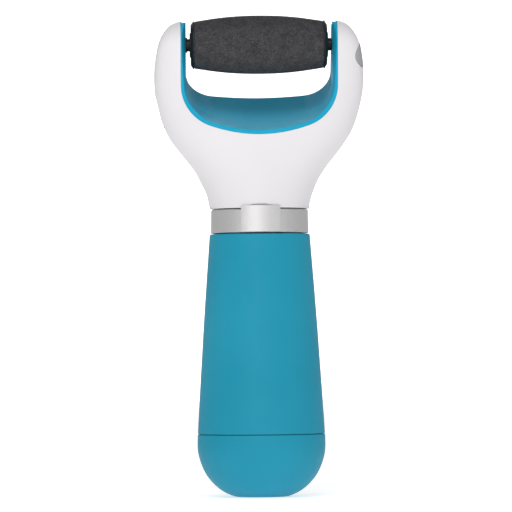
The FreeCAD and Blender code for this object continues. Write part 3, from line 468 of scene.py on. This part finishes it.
WORLD_STRENGTH = 0.37
WHITE = (1.0, 1.0, 1.0, 1.0)
PALE = (0.86, 0.86, 0.86, 1.0)

FLOOR_Z = -0.05          # just under the flat that the object stands on
FLOOR_RADII = (0.1, 300.0, 900.0, 2500.0, 12000.0)
FLOOR_AROUND = 96
FLOOR_GLOW = 0.53

WALL_Y = 2400.0
WALL_HALF_WIDTH = 700.0
WALL_THICKNESS = 1.0
WALL_HEIGHTS = (-100.0, 900.0)
WALL_GLOW = 0.79

# Place and target, width and height in metres, power in watts.
LIGHTS = {
    "key": ((-0.25, -1.1, 0.32), (0.0, 0.0, 0.1), 0.6, 0.6, 2.2),
    "fill": ((0.75, -0.8, 0.25), (0.0, 0.0, 0.1), 0.5, 0.8, 0.5),
    "top": ((-0.1, -0.85, 0.9), (0.0, 0.0, 0.12), 0.6, 0.4, 4.4),
    "back": ((0.0, 1.1, 0.75), (0.0, 0.0, 0.1), 0.6, 0.4, 1.3),
}


def backdrop(name, rings, glow):
    """Matt white studio surface that glows enough to stay pale."""
    obj = skin(name, rings)
    mat, _, _, shader = material("pale_" + name)
    shader.inputs["Base Color"].default_value = PALE
    shader.inputs["Roughness"].default_value = 0.9
    shader.inputs["Emission Color"].default_value = WHITE
    shader.inputs["Emission Strength"].default_value = glow
    obj.data.materials.append(mat)


def floor_ring(r):
    """Circle of points in the floor."""
    turns = [2 * math.pi * i / FLOOR_AROUND for i in range(FLOOR_AROUND)]
    return [(r * math.cos(t), r * math.sin(t), FLOOR_Z) for t in turns]


def wall_ring(z):
    """Section of the thin upright panel behind the object."""
    back_y = WALL_Y + WALL_THICKNESS
    w = WALL_HALF_WIDTH
    return [(-w, WALL_Y, z), (w, WALL_Y, z), (w, back_y, z), (-w, back_y, z)]


def area_light(name, spot, target, width, height, power):
    """Soft rectangular light at the spot, turned to the target."""
    data = bpy.data.lights.new(name, "AREA")
    data.shape = "RECTANGLE"
    data.size = width
    data.size_y = height
    data.energy = power
    obj = bpy.data.objects.new(name, data)
    obj.location = spot
    obj.rotation_mode = "QUATERNION"
    obj.rotation_quaternion = (V(target) - V(spot)).to_track_quat("-Z", "Y")
    bpy.context.collection.objects.link(obj)


scene = bpy.context.scene
world = bpy.data.worlds.new("studio")
scene.world = world
world.use_nodes = True
world.node_tree.nodes["Background"].inputs["Color"].default_value = WHITE
world.node_tree.nodes["Background"].inputs["Strength"].default_value = WORLD_STRENGTH

backdrop("floor", [floor_ring(r) for r in FLOOR_RADII], FLOOR_GLOW)
backdrop("wall", [wall_ring(z) for z in WALL_HEIGHTS], WALL_GLOW)
for name, setting in LIGHTS.items():
    area_light(name, *setting)

# ------------------------------------------------------------------ camera

CAMERA_AIM = (-0.00134, 0.0, 0.0827)
CAMERA_DISTANCE = 1.6
CAMERA_AZIMUTH = -1.3    # degrees, as are the next two
CAMERA_ELEVATION = -1.0
CAMERA_ROLL = -0.5
SENSOR_WIDTH = 36.0      # millimetres, as is the lens
LENS = 327.0

camera_data = bpy.data.cameras.new("camera")
camera_data.sensor_width = SENSOR_WIDTH
camera_data.lens = LENS
camera_data.clip_start = 0.05
camera_data.clip_end = 20.0
camera = bpy.data.objects.new("camera", camera_data)
bpy.context.collection.objects.link(camera)
azimuth = math.radians(CAMERA_AZIMUTH)
elevation = math.radians(CAMERA_ELEVATION)
level = math.cos(elevation)
back = V((math.sin(azimuth) * level, -math.cos(azimuth) * level, math.sin(elevation)))
camera.location = V(CAMERA_AIM) + back * CAMERA_DISTANCE
camera.rotation_mode = "QUATERNION"
roll = mathutils.Quaternion((0, 0, 1), math.radians(CAMERA_ROLL))
camera.rotation_quaternion = (-back).to_track_quat("-Z", "Y") @ roll
scene.camera = camera
scene.view_settings.view_transform = "Standard"
